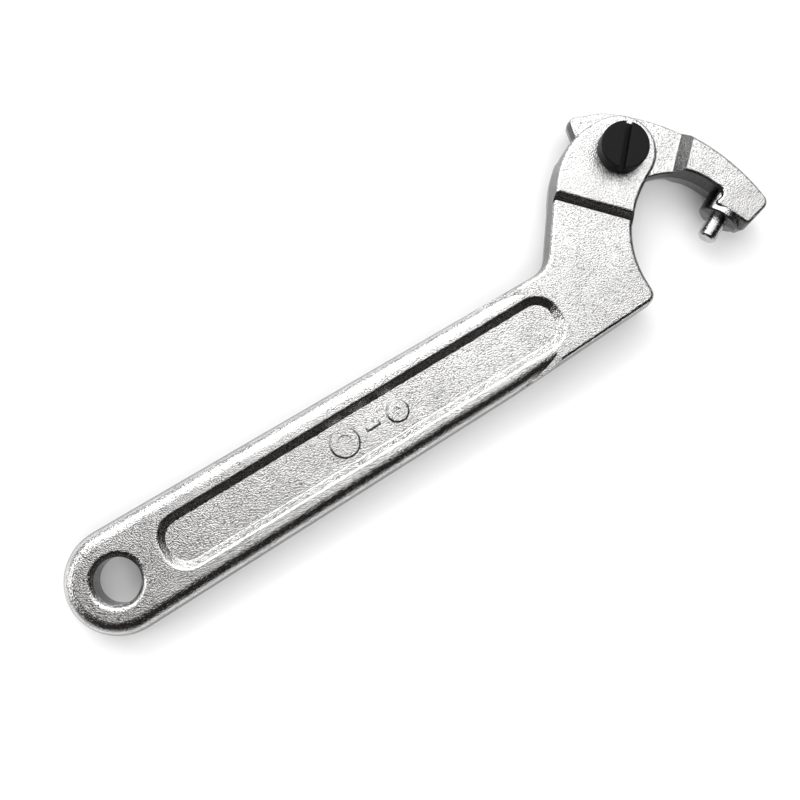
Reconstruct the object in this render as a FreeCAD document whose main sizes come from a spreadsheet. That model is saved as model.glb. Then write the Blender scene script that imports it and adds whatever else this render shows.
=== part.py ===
"""Adjustable pin spanner: a forged handle with a forked head, a hinged hook jaw, a drive pin
pressed into the jaw, and a slotted shoulder screw as the pivot.

Millimetres and degrees.  The origin is the centre of the hanging hole at mid thickness, +X runs
along the handle to the head and +Z is the hole's axis.  The jaw is drawn in its resting position.
"""
import FreeCAD
import Part
import Sketcher

import math
import os

Z_AXIS = FreeCAD.Vector(0, 0, 1)
LEVEL = 1e-3
SPAN = 400.0
TOUCHING = 1e-3
CENTRE = 3
OUTSIDE = 1
INSIDE = -1

SIZES = {
    # thicknesses, all symmetric about the parting plane z = 0
    "handle_thickness": 8.0,
    "head_thickness": 11.0,
    "jaw_thickness": 9.0,
    "tongue_thickness": 4.6,
    "slot_width": 4.8,
    "draft": 6.0,
    # handle outline on the parting plane: centre and radius of each round stretch
    "end_radius": 11.1,
    "knee_x": 88.0,
    "knee_y": 50.05,
    "knee_radius": 60.0,
    "heel_x": 122.0,
    "heel_y": -6.0,
    "heel_radius": 2.6,
    "mouth_x": 144.4,
    "mouth_y": -4.0,
    "mouth_radius": 19.8,
    "pivot_x": 133.8,
    "pivot_y": 22.25,
    "boss_radius": 8.3,
    "back_radius": 17.6,
    "back_angle": 79.0,
    "neck_x": 104.7,
    "neck_y": 14.9,
    "neck_radius": 5.4,
    # raised cheeks and the slot between them, measured from the pivot
    "step_angle": 223.7,
    "step_distance": 12.1,
    "ramp_angle": 45.0,
    "slot_angle": 209.0,
    "slot_distance": 7.9,
    "grip_end": 103.5,
    "grip_edge_round": 3.0,
    "neck_start": 100.0,
    "neck_run_out_angle": 80.0,
    "neck_edge_round": 1.0,
    "cheek_edge_round": 0.8,
    # recess in both faces of the handle, measured at the face
    "recess_start": 10.2,
    "recess_end": 104.8,
    "recess_half_width": 5.9,
    "recess_corner": 5.2,
    "recess_depth": 1.2,
    "recess_wall_angle": 52.0,
    "recess_floor_round": 0.3,
    "recess_rim_round": 0.9,
    # hanging hole
    "hang_hole_radius": 4.75,
    "hang_hole_chamfer": 0.85,
    "hang_hole_rim_round": 1.2,
    # hook jaw outline on the parting plane
    "tail_x": 129.9,
    "tail_y": 32.6,
    "tail_radius": 1.5,
    "tongue_radius": 7.4,
    "web_x": 135.04,
    "web_y": 1.81,
    "web_radius": 12.8,
    "notch_x": 147.15,
    "notch_y": 4.25,
    "notch_radius": 0.8,
    "lip_x": 146.65,
    "lip_y": 2.13,
    "lip_radius": 1.2,
    "corner_x": 149.7,
    "corner_y": -3.94,
    "corner_radius": 1.3,
    "tip_angle": 6.0,
    "tip_radius": 2.35,
    "outer_x": 110.05,
    "outer_y": -6.44,
    "outer_radius": 46.3,
    "knuckle_angle": 54.5,
    "knuckle_radius": 8.0,
    "tongue_angle": -46.4,
    "tongue_length": 14.6,
    "jaw_edge_round": 0.7,
    "tongue_edge_round": 0.4,
    # drive pin and the round boss that holds it
    "pin_x": 145.81,
    "pin_y": -0.56,
    "pin_angle": 206.0,
    "pin_radius": 2.0,
    "pin_reach": 4.9,
    "pin_shank_radius": 1.5,
    "pin_depth": 5.6,
    "pin_chamfer": 0.4,
    "pin_boss_radius": 4.45,
    "pin_boss_length": 6.2,
    "pin_boss_chamfer": 0.3,
    "pin_hole_depth": 6.2,
    # pivot screw
    "screw_head_radius": 5.1,
    "screw_head_height": 3.9,
    "screw_head_round": 0.4,
    "screw_slot_width": 1.3,
    "screw_slot_depth": 1.6,
    "screw_slot_angle": 48.0,
    "shoulder_radius": 3.5,
    "thread_radius": 3.0,
    "running_clearance": 0.05,
    "thread_clearance": 0.02,
    "screw_end_chamfer": 0.5,
    # raised size mark in the recess: small ring, bar, large ring
    "mark_height": 0.6,
    "mark_small_x": 65.2,
    "mark_large_x": 52.6,
    "mark_bar_start": 57.6,
    "mark_bar_end": 61.0,
    "mark_small_radius": 2.5,
    "mark_large_radius": 3.3,
    "mark_line_width": 1.3,
    "mark_draft": 35.0,
}


def make_sheet(document):
    sheet = document.addObject("Spreadsheet::Sheet", "Sizes")
    for row, (alias, value) in enumerate(SIZES.items(), start=1):
        sheet.set("A%d" % row, alias)
        sheet.set("B%d" % row, str(value))
        sheet.setAlias("B%d" % row, alias)
    document.recompute()
    return sheet


def cell(alias):
    return "Sizes." + alias


def number(owner, expression):
    return float(owner.evalExpression(expression))


def bind(owner, **expressions):
    for name, expression in expressions.items():
        owner.setExpression(name, expression)


def make_body(document, label):
    body = document.addObject("PartDesign::Body", label)
    body.Label = label
    return body


def origin_plane(body, role):
    return next(item for item in body.Origin.OriginFeatures if item.Role == role)


def make_sketch(body, name, role="XY_Plane", height=None):
    sketch = body.newObject("Sketcher::SketchObject", name)
    sketch.AttachmentSupport = (origin_plane(body, role), [""])
    sketch.MapMode = "FlatFace"
    if height is not None:
        bind(sketch, **{".AttachmentOffset.Base.z": height})
    return sketch


def dimension(sketch, kind, *arguments, expression):
    place = sketch.addConstraint(Sketcher.Constraint(kind, *arguments, number(sketch, expression)))
    sketch.setExpression("Constraints[%d]" % place, expression)


def place_centre(sketch, arc, x, y=None):
    """Dimension a centre from the sketch's origin, in x alone where tangency fixes y."""
    if y is None:
        dimension(sketch, "DistanceX", -1, 1, arc, CENTRE, expression=x)
        return
    if x == y == "0":
        sketch.addConstraint(Sketcher.Constraint("Coincident", arc, CENTRE, -1, 1))
        return
    dimension(sketch, "DistanceX", -1, 1, arc, CENTRE, expression=x)
    dimension(sketch, "DistanceY", -1, 1, arc, CENTRE, expression=y)


def round_at(prefix, side=OUTSIDE, blended=False):
    return cell(prefix + "_x"), cell(prefix + "_y"), cell(prefix + "_radius"), side, blended


def tangent_points(first, second):
    """Ends of the tangent line between two rounds (x, y, signed radius), outline to its left."""
    across = second[0] - first[0]
    along = second[1] - first[1]
    growth = second[2] - first[2]
    length = math.sqrt(max(across * across + along * along - growth * growth, 0.0))
    heading = math.atan2(along, across) - math.atan2(growth, length)
    normal = (-math.sin(heading), math.cos(heading))
    start = (first[0] - first[2] * normal[0], first[1] - first[2] * normal[1])
    end = (second[0] - second[2] * normal[0], second[1] - second[2] * normal[1])
    return start, end, length


def arc_between(x, y, signed_radius, entry, leave):
    circle = Part.Circle(FreeCAD.Vector(x, y, 0), Z_AXIS, abs(signed_radius))
    first = math.atan2(entry[1] - y, entry[0] - x)
    last = math.atan2(leave[1] - y, leave[0] - x)
    if signed_radius < 0:
        first, last = last, first
    if last <= first:
        last += 2 * math.pi
    return Part.ArcOfCircle(circle, first, last)


def outline_sketch(body, name, rounds, height=None):
    """Closed anticlockwise outline of rounds joined by tangent lines, fully dimensioned.

    Each round is (x, y, radius, side, blended), the first three as expressions.  A blended round
    touches a neighbour directly, with no line between, and its y follows from that tangency.
    """
    sketch = make_sketch(body, name, height=height)
    circles = [(number(sketch, x), number(sketch, y), side * number(sketch, radius))
               for x, y, radius, side, _ in rounds]
    joints = [tangent_points(circle, circles[(place + 1) % len(circles)])
              for place, circle in enumerate(circles)]
    arcs = [sketch.addGeometry(arc_between(*circle, joints[place - 1][1], joints[place][0]))
            for place, circle in enumerate(circles)]
    for place, (start, end, length) in enumerate(joints):
        following = (place + 1) % len(arcs)
        leave = 2 if rounds[place][3] == OUTSIDE else 1
        entry = 1 if rounds[following][3] == OUTSIDE else 2
        if length < TOUCHING:
            sketch.addConstraint(Sketcher.Constraint(
                "Tangent", arcs[place], leave, arcs[following], entry))
            continue
        line = sketch.addGeometry(Part.LineSegment(
            FreeCAD.Vector(*start, 0), FreeCAD.Vector(*end, 0)))
        sketch.addConstraint(Sketcher.Constraint("Tangent", arcs[place], leave, line, 1))
        sketch.addConstraint(Sketcher.Constraint("Tangent", line, 2, arcs[following], entry))
    for arc, (x, y, radius, _, blended) in zip(arcs, rounds):
        dimension(sketch, "Radius", arc, expression=radius)
        place_centre(sketch, arc, x, None if blended else y)
    return sketch


def turned_rectangle(body, name, angle, near, far, height=None):
    """Long rectangle in a frame at the pivot whose x axis is turned to the angle."""
    sketch = make_sketch(body, name, height=height)
    bind(sketch, **{".AttachmentOffset.Base.x": cell("pivot_x"),
                    ".AttachmentOffset.Base.y": cell("pivot_y"),
                    ".AttachmentOffset.Rotation.Angle": angle})
    rectangle(sketch, near, far, str(-SPAN / 2), str(SPAN / 2))
    return sketch


def rectangle(sketch, left, right, bottom, top):
    """Rectangle dimensioned from the sketch's origin by four expressions."""
    low_x, high_x, low_y, high_y = [number(sketch, edge) for edge in (left, right, bottom, top)]
    corners = [(low_x, low_y), (high_x, low_y), (high_x, high_y), (low_x, high_y)]
    first = sketch.GeometryCount
    for place, corner in enumerate(corners):
        sketch.addGeometry(Part.LineSegment(
            FreeCAD.Vector(*corner, 0), FreeCAD.Vector(*corners[(place + 1) % 4], 0)))
    for side in range(4):
        sketch.addConstraint(Sketcher.Constraint(
            "Coincident", first + side, 2, first + (side + 1) % 4, 1))
    for side in (0, 2):
        sketch.addConstraint(Sketcher.Constraint("Horizontal", first + side))
        sketch.addConstraint(Sketcher.Constraint("Vertical", first + side + 1))
    dimension(sketch, "DistanceX", -1, 1, first, 1, expression=left)
    dimension(sketch, "DistanceY", -1, 1, first, 1, expression=bottom)
    dimension(sketch, "DistanceX", -1, 1, first + 2, 1, expression=right)
    dimension(sketch, "DistanceY", -1, 1, first + 2, 1, expression=top)


def circle(sketch, x, y, radius):
    centre = FreeCAD.Vector(number(sketch, x), number(sketch, y), 0)
    place = sketch.addGeometry(Part.Circle(centre, Z_AXIS, number(sketch, radius)))
    dimension(sketch, "Radius", place, expression=radius)
    place_centre(sketch, place, x, y)


def circle_sketch(body, name, x, y, *radii, height=None):
    sketch = make_sketch(body, name, height=height)
    for radius in radii:
        circle(sketch, x, y, radius)
    return sketch


def finish(document, body, feature):
    body.Tip = feature
    document.recompute()
    return feature


def pad(document, body, name, sketch, length, below=None, draft=None, inward=False):
    feature = body.newObject("PartDesign::Pad", name)
    feature.Profile = sketch
    feature.Reversed = inward
    bind(feature, Length=length)
    if below is not None:
        feature.SideType = "Two sides"
        bind(feature, Length2=below)
    if draft is not None:
        bind(feature, TaperAngle="-" + draft)
    if draft is not None and below is not None:
        bind(feature, TaperAngle2="-" + draft)
    return finish(document, body, feature)


def pocket(document, body, name, sketch, length, slope=None):
    """Cut away from the sketch, against its normal."""
    before = body.Shape.Volume
    feature = body.newObject("PartDesign::Pocket", name)
    feature.Profile = sketch
    bind(feature, Length=length)
    if slope is not None:
        bind(feature, TaperAngle="-" + slope)
    finish(document, body, feature)
    if not body.Shape.Volume < before - LEVEL:
        raise RuntimeError(name + " removed nothing")
    return feature


def mirror_down(document, body, *features):
    mirrored = body.newObject("PartDesign::Mirrored", features[-1].Name + "Below")
    mirrored.Originals = list(features)
    mirrored.MirrorPlane = (origin_plane(body, "XY_Plane"), [""])
    return finish(document, body, mirrored)


def dress(document, body, kind, name, edges, **sizes):
    """Fillet or chamfer the chosen edges of the body's present shape."""
    base = body.Tip
    feature = body.newObject("PartDesign::" + kind, name)
    feature.Base = (base, edges)
    bind(feature, **sizes)
    return finish(document, body, feature)


def edges_where(body, keep):
    return ["Edge%d" % place for place, edge in enumerate(body.Shape.Edges, start=1)
            if keep(edge)]


def heights(shape):
    return [abs(corner.Z) for corner in shape.Vertexes]


def level_with(shape, height):
    return all(abs(corner - height) < LEVEL for corner in heights(shape))


def on_drafted_wall(body, edge):
    faces = body.Shape.ancestorsOfType(edge, Part.Face)
    return any(min(heights(face)) < LEVEL for face in faces)


def crosses_handle(edge):
    return edge.BoundBox.XLength < LEVEL


def crest_edges(body, height):
    """Outline edges at this distance above and below the parting plane."""
    return edges_where(body, lambda edge: level_with(edge, height)
                       and on_drafted_wall(body, edge) and not crosses_handle(edge))


def half(alias):
    return cell(alias) + " / 2"


def blend_round(big, small, angle):
    """A round that touches a bigger one from inside, at an angle seen from its centre."""
    reach = "(%s - %s)" % (cell(big + "_radius"), cell(small + "_radius"))
    x = "%s + %s * cos(%s)" % (cell(big + "_x"), reach, cell(angle))
    y = "%s + %s * sin(%s)" % (cell(big + "_y"), reach, cell(angle))
    return x, y, cell(small + "_radius"), OUTSIDE, True


def handle_rounds():
    reach = "(%s - %s)" % (cell("back_radius"), cell("boss_radius"))
    back_x = "%s - %s * cos(%s)" % (cell("pivot_x"), reach, cell("back_angle"))
    back_y = "%s - %s * sin(%s)" % (cell("pivot_y"), reach, cell("back_angle"))
    return [
        ("0", "0", cell("end_radius"), OUTSIDE, False),
        round_at("knee"),
        round_at("heel"),
        round_at("mouth", INSIDE),
        (cell("pivot_x"), cell("pivot_y"), cell("boss_radius"), OUTSIDE, False),
        (back_x, back_y, cell("back_radius"), OUTSIDE, True),
        round_at("neck", INSIDE),
    ]


def recess_rounds():
    left = "%s + %s" % (cell("recess_start"), cell("recess_corner"))
    right = "%s - %s" % (cell("recess_end"), cell("recess_corner"))
    top = "%s - %s" % (cell("recess_half_width"), cell("recess_corner"))
    radius = cell("recess_corner")
    centres = [(left, "-(%s)" % top), (right, "-(%s)" % top), (right, top), (left, top)]
    return [(x, y, radius, OUTSIDE, False) for x, y in centres]


def make_head_block(document):
    """Thick head that ends in a sloping step across the neck, above and below."""
    body = make_body(document, "head_block")
    outline = outline_sketch(body, "HeadOutline", handle_rounds())
    pad(document, body, "HeadForging", outline, half("head_thickness"),
        below=half("head_thickness"), draft=cell("draft"))
    zone = turned_rectangle(body, "HandleZone", cell("step_angle"), cell("step_distance"),
                            str(SPAN / 2), height=half("head_thickness"))
    cut = pocket(document, body, "HeadStep", zone, half("head_thickness"),
                 slope=cell("ramp_angle"))
    mirror_down(document, body, cut)
    level = number(cut, half("head_thickness"))
    dress(document, body, "Fillet", "CheekEdges", crest_edges(body, level),
          Radius=cell("cheek_edge_round"))
    return body


def join(document, body, name, block):
    feature = body.newObject("PartDesign::Boolean", name)
    feature.Type = "Fuse"
    feature.setObjects([block])
    finish(document, body, feature)


def bore_radius():
    return cell("shoulder_radius") + " + " + cell("running_clearance")


def cut_head(document, body):
    """Slot for the tongue, clearance hole in the upper cheek, threaded hole in the lower one."""
    gap = turned_rectangle(body, "SlotOutline", cell("slot_angle"), str(-SPAN / 2),
                           cell("slot_distance"), height=half("slot_width"))
    pocket(document, body, "Slot", gap, cell("slot_width"))
    upper = circle_sketch(body, "ShoulderHoleCircle", cell("pivot_x"), cell("pivot_y"),
                          bore_radius(), height=half("head_thickness"))
    pocket(document, body, "ShoulderHole", upper, half("head_thickness"))
    lower = circle_sketch(body, "ThreadHoleCircle", cell("pivot_x"), cell("pivot_y"),
                          cell("thread_radius") + " + " + cell("thread_clearance"))
    pocket(document, body, "ThreadHole", lower, half("head_thickness"))


def make_neck_block(document):
    """Neck and heel with crisp edges and the forked head, running out along the grip in a wedge."""
    body = make_body(document, "neck_block")
    outline = outline_sketch(body, "NeckOutline", handle_rounds())
    pad(document, body, "NeckForging", outline, half("handle_thickness"),
        below=half("handle_thickness"), draft=cell("draft"))
    zone = make_sketch(body, "GripZone", height=half("handle_thickness"))
    rectangle(zone, str(-SPAN), cell("neck_start"), str(-SPAN / 2), str(SPAN / 2))
    cut = pocket(document, body, "NeckRunOut", zone, half("handle_thickness"),
                 slope=cell("neck_run_out_angle"))
    mirror_down(document, body, cut)
    level = number(cut, half("handle_thickness"))
    dress(document, body, "Fillet", "NeckEdges", crest_edges(body, level),
          Radius=cell("neck_edge_round"))
    join(document, body, "HeadJoin", make_head_block(document))
    cut_head(document, body)
    return body


def forge_grip(document, body):
    """Grip with full, soft edges, cut off square inside the neck."""
    outline = outline_sketch(body, "GripOutline", handle_rounds())
    pad(document, body, "GripForging", outline, half("handle_thickness"),
        below=half("handle_thickness"), draft=cell("draft"))
    beyond = make_sketch(body, "BeyondGrip", height=half("handle_thickness"))
    rectangle(beyond, cell("grip_end"), str(SPAN), str(-SPAN / 2), str(SPAN / 2))
    cut = pocket(document, body, "GripEnd", beyond, cell("handle_thickness"))
    level = number(cut, half("handle_thickness"))
    dress(document, body, "Fillet", "GripEdges", crest_edges(body, level),
          Radius=cell("grip_edge_round"))


def recess_floor():
    return half("handle_thickness") + " - " + cell("recess_depth")


def cut_recesses(document, body):
    outline = outline_sketch(body, "RecessOutline", recess_rounds(),
                             height=half("handle_thickness"))
    cut = pocket(document, body, "Recess", outline, cell("recess_depth"),
                 slope=cell("recess_wall_angle"))
    mirror_down(document, body, cut)
    face_level = number(cut, half("handle_thickness"))
    floor_level = number(cut, recess_floor())
    start = number(cut, cell("recess_start"))
    end = number(cut, cell("recess_end"))
    half_width = number(cut, cell("recess_half_width"))

    def in_recess(edge, level):
        box = edge.BoundBox
        inside = (box.XMin > start - LEVEL and box.XMax < end + LEVEL
                  and box.YMin > -half_width - LEVEL and box.YMax < half_width + LEVEL)
        return inside and level_with(edge, level)

    floor = edges_where(body, lambda edge: in_recess(edge, floor_level))
    dress(document, body, "Fillet", "RecessFloorEdges", floor, Radius=cell("recess_floor_round"))
    rim = edges_where(body, lambda edge: in_recess(edge, face_level))
    dress(document, body, "Fillet", "RecessRims", rim, Radius=cell("recess_rim_round"))


def is_circle(edge, radius):
    return isinstance(edge.Curve, Part.Circle) and abs(edge.Curve.Radius - radius) < LEVEL


def cut_hang_hole(document, body):
    outline = circle_sketch(body, "HangHoleCircle", "0", "0", cell("hang_hole_radius"),
                            height=half("handle_thickness"))
    pocket(document, body, "HangHole", outline, cell("handle_thickness"))
    radius = number(outline, cell("hang_hole_radius"))
    rims = edges_where(body, lambda edge: is_circle(edge, radius))
    dress(document, body, "Chamfer", "HangHoleRims", rims, Size=cell("hang_hole_chamfer"))
    wide = number(outline, cell("hang_hole_radius") + " + " + cell("hang_hole_chamfer"))
    soft = edges_where(body, lambda edge: is_circle(edge, wide))
    dress(document, body, "Fillet", "HangHoleSoftRims", soft,
          Radius=cell("hang_hole_rim_round"))


def add_size_mark(document, body):
    """Small ring, bar and large ring raised from the floor of the upper recess."""
    marks = make_sketch(body, "MarkOutline", height=recess_floor())
    for size in ("small", "large"):
        centre = cell("mark_%s_x" % size)
        radius = cell("mark_%s_radius" % size)
        circle(marks, centre, "0", radius)
        circle(marks, centre, "0", radius + " - " + cell("mark_line_width"))
    rectangle(marks, cell("mark_bar_start"), cell("mark_bar_end"),
              "-" + half("mark_line_width"), half("mark_line_width"))
    pad(document, body, "SizeMark", marks, cell("mark_height"), draft=cell("mark_draft"))


def make_handle(document):
    body = make_body(document, "handle")
    forge_grip(document, body)
    cut_hang_hole(document, body)
    join(document, body, "NeckJoin", make_neck_block(document))
    cut_recesses(document, body)
    add_size_mark(document, body)
    return body


def hook_rounds():
    return [
        round_at("tail"),
        (cell("pivot_x"), cell("pivot_y"), cell("tongue_radius"), OUTSIDE, False),
        round_at("web", INSIDE),
        round_at("notch", INSIDE),
        round_at("lip"),
        round_at("corner"),
        blend_round("outer", "tip", "tip_angle"),
        round_at("outer"),
        blend_round("outer", "knuckle", "knuckle_angle"),
    ]


def cut_tongue(document, body):
    """Thin the jaw to the tongue on both faces, with a sloping step where the jaw is thick."""
    depth = "(%s - %s) / 2" % (cell("jaw_thickness"), cell("tongue_thickness"))
    zone = turned_rectangle(body, "TongueZone", cell("tongue_angle"), str(-SPAN / 2),
                            cell("tongue_length"), height=half("jaw_thickness"))
    cut = pocket(document, body, "TongueFace", zone, depth, slope=cell("ramp_angle"))
    mirror_down(document, body, cut)
    bore = circle_sketch(body, "TongueBoreCircle", cell("pivot_x"), cell("pivot_y"),
                         bore_radius(), height=half("tongue_thickness"))
    pocket(document, body, "TongueBore", bore, cell("tongue_thickness"))


def pin_circle(body, name, radius):
    """Circle round the pin's axis on the boss face, whose normal points out along the pin."""
    sketch = make_sketch(body, name, role="YZ_Plane")
    turn = FreeCAD.Rotation(FreeCAD.Vector(0, 1, 0), 1)
    sketch.AttachmentOffset = FreeCAD.Placement(FreeCAD.Vector(), turn)
    bind(sketch, **{".AttachmentOffset.Base.x": cell("pin_y"),
                    ".AttachmentOffset.Base.z": cell("pin_x"),
                    ".AttachmentOffset.Rotation.Angle": cell("pin_angle")})
    circle(sketch, "0", "0", radius)
    return sketch


def add_pin_boss(document, body):
    outline = pin_circle(body, "PinBossCircle", cell("pin_boss_radius"))
    boss = pad(document, body, "PinBoss", outline, cell("pin_boss_length"), inward=True)
    radius = number(boss, cell("pin_boss_radius"))
    rim = edges_where(body, lambda edge: is_circle(edge, radius)
                      and edge.Length > 4 * radius)
    dress(document, body, "Chamfer", "PinBossRim", rim, Size=cell("pin_boss_chamfer"))
    hole = pin_circle(body, "PinHoleCircle", cell("pin_shank_radius"))
    pocket(document, body, "PinHole", hole, cell("pin_hole_depth"))


def make_hook_jaw(document):
    body = make_body(document, "hook_jaw")
    outline = outline_sketch(body, "HookOutline", hook_rounds())
    pad(document, body, "HookForging", outline, half("jaw_thickness"),
        below=half("jaw_thickness"), draft=cell("draft"))
    cut_tongue(document, body)
    jaw_level = number(body.Tip, half("jaw_thickness"))
    tongue_level = number(body.Tip, half("tongue_thickness"))
    dress(document, body, "Fillet", "JawEdges", crest_edges(body, jaw_level),
          Radius=cell("jaw_edge_round"))
    dress(document, body, "Fillet", "TongueEdges", crest_edges(body, tongue_level),
          Radius=cell("tongue_edge_round"))
    add_pin_boss(document, body)
    return body


def make_drive_pin(document):
    """Free end that drives the nut, and a thinner shank pressed into the boss."""
    body = make_body(document, "drive_pin")
    shank = pin_circle(body, "ShankCircle", cell("pin_shank_radius"))
    pad(document, body, "Shank", shank, cell("pin_depth"), inward=True)
    outline = pin_circle(body, "PinCircle", cell("pin_radius"))
    pad(document, body, "Pin", outline, cell("pin_reach"))
    outward = (number(outline, "cos(%s)" % cell("pin_angle")),
               number(outline, "sin(%s)" % cell("pin_angle")))
    origin = (number(outline, cell("pin_x")), number(outline, cell("pin_y")))

    def is_end(edge):
        if not isinstance(edge.Curve, Part.Circle):
            return False
        centre = edge.Curve.Center
        along = (centre.x - origin[0]) * outward[0] + (centre.y - origin[1]) * outward[1]
        return abs(along) > LEVEL

    ends = edges_where(body, is_end)
    dress(document, body, "Chamfer", "PinEnds", ends, Size=cell("pin_chamfer"))
    return body


def pivot_cylinder(document, body, name, radius, height, length):
    """Cylinder on the pivot's axis that stands up from the given height."""
    outline = circle_sketch(body, name + "Circle", cell("pivot_x"), cell("pivot_y"),
                            radius, height=height)
    return pad(document, body, name, outline, length)


def make_pivot_screw(document):
    body = make_body(document, "pivot_screw")
    head_level = half("head_thickness")
    slot_level = half("slot_width")
    pivot_cylinder(document, body, "Shoulder", cell("shoulder_radius"), "-" + slot_level,
                   slot_level + " + " + head_level)
    pivot_cylinder(document, body, "Thread", cell("thread_radius"), "-" + head_level,
                   head_level + " - " + slot_level)
    pivot_cylinder(document, body, "Head", cell("screw_head_radius"), head_level,
                   cell("screw_head_height"))
    top = number(body.Tip, head_level + " + " + cell("screw_head_height"))
    crown = edges_where(body, lambda edge: level_with(edge, top))
    dress(document, body, "Fillet", "HeadRim", crown, Radius=cell("screw_head_round"))
    foot = number(body.Tip, head_level)
    thread = number(body.Tip, cell("thread_radius"))
    ends = edges_where(body, lambda edge: level_with(edge, foot) and is_circle(edge, thread))
    dress(document, body, "Chamfer", "ThreadEnd", ends, Size=cell("screw_end_chamfer"))
    slot = make_sketch(body, "ScrewSlotOutline",
                       height=head_level + " + " + cell("screw_head_height"))
    bind(slot, **{".AttachmentOffset.Base.x": cell("pivot_x"),
                  ".AttachmentOffset.Base.y": cell("pivot_y"),
                  ".AttachmentOffset.Rotation.Angle": cell("screw_slot_angle")})
    reach = cell("screw_head_radius") + " * 2"
    rectangle(slot, "-" + reach, reach, "-" + half("screw_slot_width"),
              half("screw_slot_width"))
    pocket(document, body, "ScrewSlot", slot, cell("screw_slot_depth"))
    return body


def check_document(document, bodies):
    for item in document.Objects:
        if "Invalid" in item.State or "Error" in item.State:
            raise RuntimeError(item.Name + " did not recompute")
    for body in bodies:
        if body.Shape.isNull() or not body.Shape.isValid() or len(body.Shape.Solids) != 1:
            raise RuntimeError(body.Label + " is not one valid solid")


def write_parts(bodies):
    os.makedirs("parts", exist_ok=True)
    for body in bodies:
        body.Shape.exportStep("parts/%s.step" % body.Label)


def main():
    document = FreeCAD.newDocument("PinSpanner")
    make_sheet(document)
    bodies = [
        make_handle(document),
        make_hook_jaw(document),
        make_drive_pin(document),
        make_pivot_screw(document),
    ]
    document.recompute()
    check_document(document, bodies)
    write_parts(bodies)


main()
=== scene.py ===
"""Looks of the adjustable pin spanner: camera, studio, floor and metal finishes round the CAD frame.

Metres, in the part's own frame: the hanging hole at the origin, +X along the handle.
"""
import math

import bpy
from mathutils import Matrix, Vector

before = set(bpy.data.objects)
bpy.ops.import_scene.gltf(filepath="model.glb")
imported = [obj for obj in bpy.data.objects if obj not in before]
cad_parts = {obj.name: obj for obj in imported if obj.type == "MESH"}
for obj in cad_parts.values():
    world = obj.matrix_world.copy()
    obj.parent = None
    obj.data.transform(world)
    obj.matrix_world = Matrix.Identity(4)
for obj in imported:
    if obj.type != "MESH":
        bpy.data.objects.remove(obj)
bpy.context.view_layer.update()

MM = 0.001

# The spanner lies on its back: the head's cheek and the thinner hanging end both touch the floor.
FLOOR_UNDER_HOLE = -4.1 * MM
FLOOR_SLOPE = 1.5 / 126.0
FLOOR_SIZE = 1.6

CAMERA_HEIGHT = 225.0 * MM
CAMERA_OVER = (41.8 * MM, -9.0 * MM)
CAMERA_AIM = (67.6 * MM, 2.0 * MM)
CAMERA_UP_HEADING = 58.4
LENS = 48.1
SENSOR = 36.0

PAPER_WHITE = 0.93
PAPER_ROUGHNESS = 0.9
WORLD_COLOUR = (1.0, 0.90, 0.85, 1)
WORLD_STRENGTH = 0.022
TOOL_MIDDLE = (0.07, 0.01, 0.0)

# Places of the colour sockets on the mix node, whose names repeat.
MIX_FIRST = 6
MIX_SECOND = 7
MIX_RESULT = 2


def table_frame():
    """Frame on the floor under the hanging hole, with its z axis square to the floor."""
    along = Vector((1.0, 0.0, -FLOOR_SLOPE)).normalized()
    across = Vector((0.0, 1.0, 0.0))
    up = along.cross(across)
    frame_matrix = Matrix((along, across, up)).transposed().to_4x4()
    frame_matrix.translation = Vector((0.0, 0.0, FLOOR_UNDER_HOLE))
    return frame_matrix


TABLE = table_frame()


def link(name, data):
    thing = bpy.data.objects.new(name, data)
    bpy.context.scene.collection.objects.link(thing)
    return thing


def add_camera():
    data = bpy.data.cameras.new("camera")
    data.sensor_width = SENSOR
    data.lens = LENS
    data.clip_start = 0.01
    data.clip_end = 10.0
    camera = link("camera", data)
    place = Vector((*CAMERA_OVER, CAMERA_HEIGHT))
    aim = Vector((*CAMERA_AIM, 0.0))
    heading = math.radians(CAMERA_UP_HEADING)
    back = (place - aim).normalized()
    right = Vector((math.cos(heading), math.sin(heading), 0.0)).cross(back).normalized()
    up = back.cross(right)
    turn = Matrix((right, up, back)).transposed().to_4x4()
    turn.translation = place
    camera.matrix_world = TABLE @ turn
    bpy.context.scene.camera = camera


def add_floor():
    half = FLOOR_SIZE / 2
    mesh = bpy.data.meshes.new("floor")
    mesh.from_pydata([(-half, -half, 0), (half, -half, 0), (half, half, 0), (-half, half, 0)],
                     [], [(0, 1, 2, 3)])
    floor = link("floor", mesh)
    floor.matrix_world = TABLE
    material = bpy.data.materials.new("floor_paper")
    material.use_nodes = True
    shader = material.node_tree.nodes["Principled BSDF"]
    shader.inputs["Base Color"].default_value = (*[PAPER_WHITE] * 3, 1)
    shader.inputs["Roughness"].default_value = PAPER_ROUGHNESS
    mesh.materials.append(material)


def add_panel(name, place, aim, size, power):
    """Rectangular soft light; place and aim are in the table's frame."""
    data = bpy.data.lights.new(name, "AREA")
    data.shape = "RECTANGLE"
    data.size = size[0]
    data.size_y = size[1]
    data.energy = power
    light = link(name, data)
    back = (Vector(place) - Vector(aim)).normalized()
    side = Vector((0, 1, 0)).cross(back)
    if side.length < 0.1:
        side = Vector((1, 0, 0))
    side.normalize()
    turn = Matrix((side, back.cross(side), back)).transposed().to_4x4()
    turn.translation = Vector(place)
    light.matrix_world = TABLE @ turn
    return light


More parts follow.
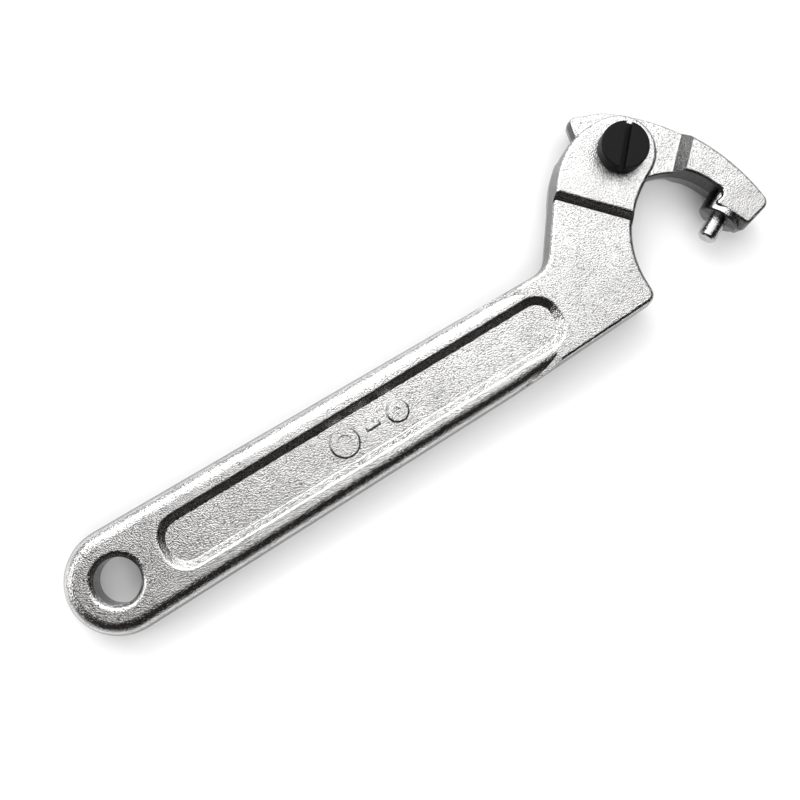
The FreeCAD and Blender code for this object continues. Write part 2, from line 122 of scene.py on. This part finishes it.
def add_studio():
    world = bpy.data.worlds.new("studio")
    world.use_nodes = True
    background = world.node_tree.nodes["Background"]
    background.inputs["Color"].default_value = WORLD_COLOUR
    background.inputs["Strength"].default_value = WORLD_STRENGTH
    bpy.context.scene.world = world
    add_panel("key", (0.27, 0.37, 0.56), TOOL_MIDDLE, (1.0, 0.95), 5.8)
    add_panel("crest", (0.02, 0.62, 0.50), TOOL_MIDDLE, (0.7, 0.4), 2.2)
    fill = add_panel("fill", (0.0, -0.45, 0.55), (0.07, 0.0, 0.0), (1.0, 0.8), 5.0)
    fill.visible_glossy = False
    add_panel("end", (-0.62, 0.34, 0.40), (0.0, 0.0, 0.0), (0.42, 0.34), 1.6)


class Nodes:
    """Short way to add shader nodes and links to one material."""

    def __init__(self, name):
        self.material = bpy.data.materials.new(name)
        self.material.use_nodes = True
        self.tree = self.material.node_tree
        self.shader = self.tree.nodes["Principled BSDF"]
        coordinates = self.add("ShaderNodeTexCoord")
        self.place = coordinates.outputs["Object"]
        self.normal = coordinates.outputs["Normal"]

    def add(self, kind, **settings):
        node = self.tree.nodes.new(kind)
        for key, value in settings.items():
            setattr(node, key, value)
        return node

    def join(self, source, node, socket):
        self.tree.links.new(source, node.inputs[socket])

    def noise(self, size, detail=2.0):
        """Noise whose blotches are about size metres across, from 0 to 1."""
        node = self.add("ShaderNodeTexNoise")
        node.inputs["Scale"].default_value = 1.0 / size
        node.inputs["Detail"].default_value = detail
        self.join(self.place, node, "Vector")
        return node.outputs["Fac"]

    def remap(self, source, low, high, to_low, to_high):
        node = self.add("ShaderNodeMapRange")
        node.inputs["From Min"].default_value = low
        node.inputs["From Max"].default_value = high
        node.inputs["To Min"].default_value = to_low
        node.inputs["To Max"].default_value = to_high
        self.join(source, node, "Value")
        return node.outputs["Result"]

    def mix(self, share, first, second):
        """Mix of two fixed colours."""
        node = self.add("ShaderNodeMix", data_type="RGBA")
        self.join(share, node, "Factor")
        node.inputs[MIX_FIRST].default_value = first
        node.inputs[MIX_SECOND].default_value = second
        return node.outputs[MIX_RESULT]

    def blend(self, share, first, second):
        """Mix of two colours that come from other nodes."""
        node = self.add("ShaderNodeMix", data_type="RGBA")
        self.join(share, node, "Factor")
        self.join(first, node, MIX_FIRST)
        self.join(second, node, MIX_SECOND)
        return node.outputs[MIX_RESULT]

    def scaled(self, colour, factor):
        node = self.add("ShaderNodeVectorMath", operation="SCALE")
        self.join(colour, node, 0)
        self.join(factor, node, "Scale")
        return node.outputs["Vector"]

    def height(self):
        """Height above the parting plane, in metres."""
        split = self.add("ShaderNodeSeparateXYZ")
        self.join(self.place, split, "Vector")
        return split.outputs["Z"]

    def times(self, first, second):
        node = self.add("ShaderNodeMath", operation="MULTIPLY")
        self.join(first, node, 0)
        self.join(second, node, 1)
        return node.outputs["Value"]

    def uprightness(self):
        """1 on a face square to the floor, 0 on one that lies flat."""
        split = self.add("ShaderNodeSeparateXYZ")
        self.join(self.normal, split, "Vector")
        square = self.times(split.outputs["Z"], split.outputs["Z"])
        rest = self.add("ShaderNodeMath", operation="SUBTRACT")
        rest.inputs[0].default_value = 1.0
        self.join(square, rest, 1)
        return rest.outputs["Value"]

    def bump(self, height, distance, under=None):
        """Relief of the given depth, laid over another relief where one is given."""
        node = self.add("ShaderNodeBump")
        node.inputs["Distance"].default_value = distance
        self.join(height, node, "Height")
        if under is not None:
            self.join(under, node, "Normal")
        return node.outputs["Normal"]


def plated_forging(name, upper_wall_dull_and_shade, lower_wall_dull_and_shade, steep):
    """Satin plating over shot-blasted steel: pebbled grain, sparse specks of painted shade, and
    walls of dull trimmed metal darkened further with painted shade, their upper and lower halves
    coloured apart as painted reflection.

    A face turns from plated to dull and shaded between the two uprightness values in steep.
    """
    nodes = Nodes(name)
    shader = nodes.shader
    shader.inputs["Metallic"].default_value = 1.0
    # Wall colours: dull trimmed metal, darkened further with painted shade.
    dull_shaded_wall_top = (*[upper_wall_dull_and_shade] * 3, 1)
    dull_shaded_wall_bottom = (*[lower_wall_dull_and_shade] * 3, 1)
    pebbles = nodes.noise(0.25 * MM, detail=1.0)
    fine = nodes.noise(0.2 * MM, detail=1.0)
    # Sparse dark specks of painted shade, standing for the shade in the shot-blast grain, scale down
    # the base colour.
    painted_speck_shade = nodes.remap(nodes.noise(0.24 * MM, detail=1.0), 0.33, 0.43, 0.25, 1.0)
    swell = nodes.noise(5.0 * MM, detail=1.0)
    tone = nodes.remap(nodes.noise(7.0 * MM, detail=3.0), 0.3, 0.7, 0.0, 1.0)
    face = nodes.mix(tone, (0.64, 0.636, 0.632, 1), (0.76, 0.756, 0.752, 1))
    # Painted reflection: walls above the parting plane take the upper colour, walls below it take
    # the lower one.
    above = nodes.remap(nodes.height(), -0.1 * MM, 0.1 * MM, 0.0, 1.0)
    wall = nodes.mix(above, dull_shaded_wall_bottom, dull_shaded_wall_top)
    # Painted shade: the steeper a face, the more it takes the dark wall colour.
    sides = nodes.remap(nodes.uprightness(), *steep, 0.0, 1.0)
    plated = nodes.blend(sides, face, wall)
    nodes.join(nodes.scaled(plated, painted_speck_shade), shader, "Base Color")
    nodes.join(nodes.remap(fine, 0.3, 0.7, 0.12, 0.26), shader, "Roughness")
    wavy = nodes.bump(swell, 0.05 * MM)
    nodes.join(nodes.bump(pebbles, 0.095 * MM, under=wavy), shader, "Normal")
    return nodes.material


def plated_pin():
    """Plated over turned steel: dull patches, small dents and uneven glints."""
    nodes = Nodes("plated_pin")
    shader = nodes.shader
    shader.inputs["Metallic"].default_value = 1.0
    grain = nodes.noise(0.35 * MM, detail=2.0)
    nodes.join(nodes.mix(grain, (0.34, 0.34, 0.35, 1), (0.60, 0.60, 0.61, 1)), shader,
               "Base Color")
    nodes.join(nodes.remap(grain, 0.3, 0.7, 0.16, 0.3), shader, "Roughness")
    nodes.join(nodes.bump(grain, 0.07 * MM), shader, "Normal")
    return nodes.material


def black_oxide():
    nodes = Nodes("black_oxide_steel")
    shader = nodes.shader
    shader.inputs["Specular IOR Level"].default_value = 0.12
    grain = nodes.noise(0.3 * MM, detail=3.0)
    nodes.join(nodes.mix(grain, (0.004, 0.004, 0.0045, 1), (0.010, 0.010, 0.011, 1)), shader,
               "Base Color")
    nodes.join(nodes.remap(grain, 0.3, 0.7, 0.42, 0.6), shader, "Roughness")
    nodes.join(nodes.bump(grain, 0.02 * MM), shader, "Normal")
    return nodes.material


def dress_nodes():
    finishes = {
        # Wall colours are dull metal plus painted shade; the jaw's much darker upper walls are
        # painted reflection.
        "handle": plated_forging("plated_handle", 0.14, 0.18, (0.6, 0.92)),
        "hook_jaw": plated_forging("plated_jaw", 0.07, 0.20, (0.38, 0.55)),
        "drive_pin": plated_pin(),
        "pivot_screw": black_oxide(),
    }
    for name, material in finishes.items():
        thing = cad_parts[name]
        thing.data.materials.clear()
        thing.data.materials.append(material)


add_camera()
add_floor()
add_studio()
dress_nodes()
bpy.context.scene.view_settings.view_transform = "Standard"
